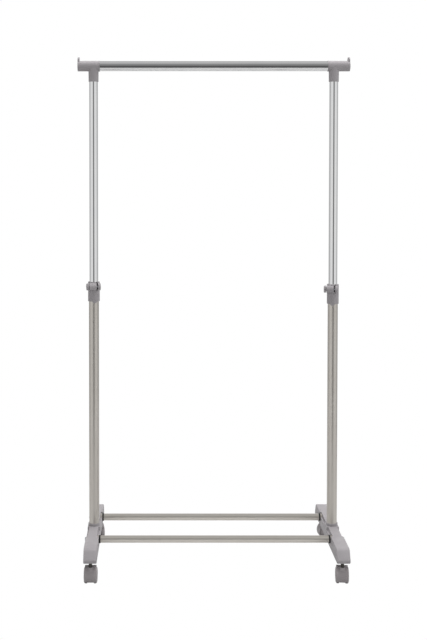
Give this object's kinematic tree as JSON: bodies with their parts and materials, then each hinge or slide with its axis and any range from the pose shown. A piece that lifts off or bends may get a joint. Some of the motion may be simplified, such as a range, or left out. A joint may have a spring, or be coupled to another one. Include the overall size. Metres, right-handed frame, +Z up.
{
  "type": "rolling clothes rack",
  "caption": "Rolling clothes rack with a height-adjustable hanging rail on telescopic masts, two clamp knobs, moulded feet joined by base rails, and swivelling twin-wheel casters.",
  "frame": {"origin": "on the floor, midway between the two masts", "axes": "+Z up, the longest extent; +X to the right along the hanging rail; +Y to the back, the shortest extent"},
  "size_m": [0.86, 0.4656, 1.6059],
  "materials": {
    "chrome": "bright chrome plate",
    "satin_steel": "satin nickel plate",
    "grey_plastic": "fine matte moulding",
    "zinc_steel": "bright zinc plate",
    "black_plastic": "moulded",
    "caster_plastic": "moulded",
    "dark_steel": "oiled"
  },
  "bodies": {
    "base": {"left_foot": "grey_plastic", "right_foot": "grey_plastic", "front_base_rail": "satin_steel", "rear_base_rail": "satin_steel", "base_rail_ferrules": "black_plastic", "base_rail_plugs": "black_plastic", "base_rail_screws": "zinc_steel", "left_lower_tube": "satin_steel", "right_lower_tube": "satin_steel", "mast_plugs": "black_plastic", "mast_screws": "zinc_steel", "left_clamp_collar": "grey_plastic", "right_clamp_collar": "grey_plastic", "left_clamp_nut": "zinc_steel", "right_clamp_nut": "zinc_steel", "caster_liners": "black_plastic"},
    "upper_frame": {"left_upper_tube": "chrome", "right_upper_tube": "chrome", "left_guide_plug": "black_plastic", "right_guide_plug": "black_plastic", "top_rail": "chrome", "left_tee": "grey_plastic", "right_tee": "grey_plastic"},
    "left_knob": {"left_clamp_knob": "grey_plastic", "left_clamp_bolt": "zinc_steel"},
    "right_knob": {"right_clamp_knob": "grey_plastic", "right_clamp_bolt": "zinc_steel"},
    "front_left_caster": {"front_left_caster_hood": "caster_plastic", "front_left_caster_stem": "dark_steel", "front_left_caster_axle": "dark_steel"},
    "front_left_left_wheel": {"front_left_left_wheel": "caster_plastic"},
    "front_left_right_wheel": {"front_left_right_wheel": "caster_plastic"},
    "front_right_caster": {"front_right_caster_hood": "caster_plastic", "front_right_caster_stem": "dark_steel", "front_right_caster_axle": "dark_steel"},
    "front_right_left_wheel": {"front_right_left_wheel": "caster_plastic"},
    "front_right_right_wheel": {"front_right_right_wheel": "caster_plastic"},
    "rear_left_caster": {"rear_left_caster_hood": "caster_plastic", "rear_left_caster_stem": "dark_steel", "rear_left_caster_axle": "dark_steel"},
    "rear_left_left_wheel": {"rear_left_left_wheel": "caster_plastic"},
    "rear_left_right_wheel": {"rear_left_right_wheel": "caster_plastic"},
    "rear_right_caster": {"rear_right_caster_hood": "caster_plastic", "rear_right_caster_stem": "dark_steel", "rear_right_caster_axle": "dark_steel"},
    "rear_right_left_wheel": {"rear_right_left_wheel": "caster_plastic"},
    "rear_right_right_wheel": {"rear_right_right_wheel": "caster_plastic"}
  },
  "joints": [
    {"name": "mast_slide", "type": "slide", "parent": "base", "child": "upper_frame", "axis": [0, 0, 1], "range_m": [-0.6, 0.09]},
    {"name": "left_knob_turn", "type": "hinge", "parent": "base", "child": "left_knob", "pos_m": [-0.37553, -0.02103, 0.8807], "axis": [0.9781, 0.2079, 0], "range_deg": [0, 540]},
    {"name": "right_knob_turn", "type": "hinge", "parent": "base", "child": "right_knob", "pos_m": [0.37553, -0.02103, 0.8727], "axis": [0.9781, -0.2079, 0], "range_deg": [0, 540]},
    {"name": "front_left_swivel", "type": "hinge", "parent": "base", "child": "front_left_caster", "pos_m": [-0.38, -0.204, 0.06], "axis": [0, 0, 1], "continuous": true},
    {"name": "front_left_left_roll", "type": "hinge", "parent": "front_left_caster", "child": "front_left_left_wheel", "pos_m": [-0.38, -0.189, 0.025], "axis": [1, 0, 0], "continuous": true},
    {"name": "front_left_right_roll", "type": "hinge", "parent": "front_left_caster", "child": "front_left_right_wheel", "pos_m": [-0.38, -0.189, 0.025], "axis": [1, 0, 0], "continuous": true},
    {"name": "front_right_swivel", "type": "hinge", "parent": "base", "child": "front_right_caster", "pos_m": [0.38, -0.204, 0.06], "axis": [0, 0, 1], "continuous": true},
    {"name": "front_right_left_roll", "type": "hinge", "parent": "front_right_caster", "child": "front_right_left_wheel", "pos_m": [0.38157, -0.18908, 0.025], "axis": [0.9945, -0.1045, 0], "continuous": true},
    {"name": "front_right_right_roll", "type": "hinge", "parent": "front_right_caster", "child": "front_right_right_wheel", "pos_m": [0.38157, -0.18908, 0.025], "axis": [0.9945, -0.1045, 0], "continuous": true},
    {"name": "rear_left_swivel", "type": "hinge", "parent": "base", "child": "rear_left_caster", "pos_m": [-0.38, 0.204, 0.06], "axis": [0, 0, 1], "continuous": true},
    {"name": "rear_left_left_roll", "type": "hinge", "parent": "rear_left_caster", "child": "rear_left_left_wheel", "pos_m": [-0.37739, 0.18923, 0.025], "axis": [-0.9848, -0.1736, 0], "continuous": true},
    {"name": "rear_left_right_roll", "type": "hinge", "parent": "rear_left_caster", "child": "rear_left_right_wheel", "pos_m": [-0.37739, 0.18923, 0.025], "axis": [-0.9848, -0.1736, 0], "continuous": true},
    {"name": "rear_right_swivel", "type": "hinge", "parent": "base", "child": "rear_right_caster", "pos_m": [0.38, 0.204, 0.06], "axis": [0, 0, 1], "continuous": true},
    {"name": "rear_right_left_roll", "type": "hinge", "parent": "rear_right_caster", "child": "rear_right_left_wheel", "pos_m": [0.39485, 0.20609, 0.025], "axis": [0.1392, -0.9903, 0], "continuous": true},
    {"name": "rear_right_right_roll", "type": "hinge", "parent": "rear_right_caster", "child": "rear_right_right_wheel", "pos_m": [0.39485, 0.20609, 0.025], "axis": [0.1392, -0.9903, 0], "continuous": true}
  ]
}
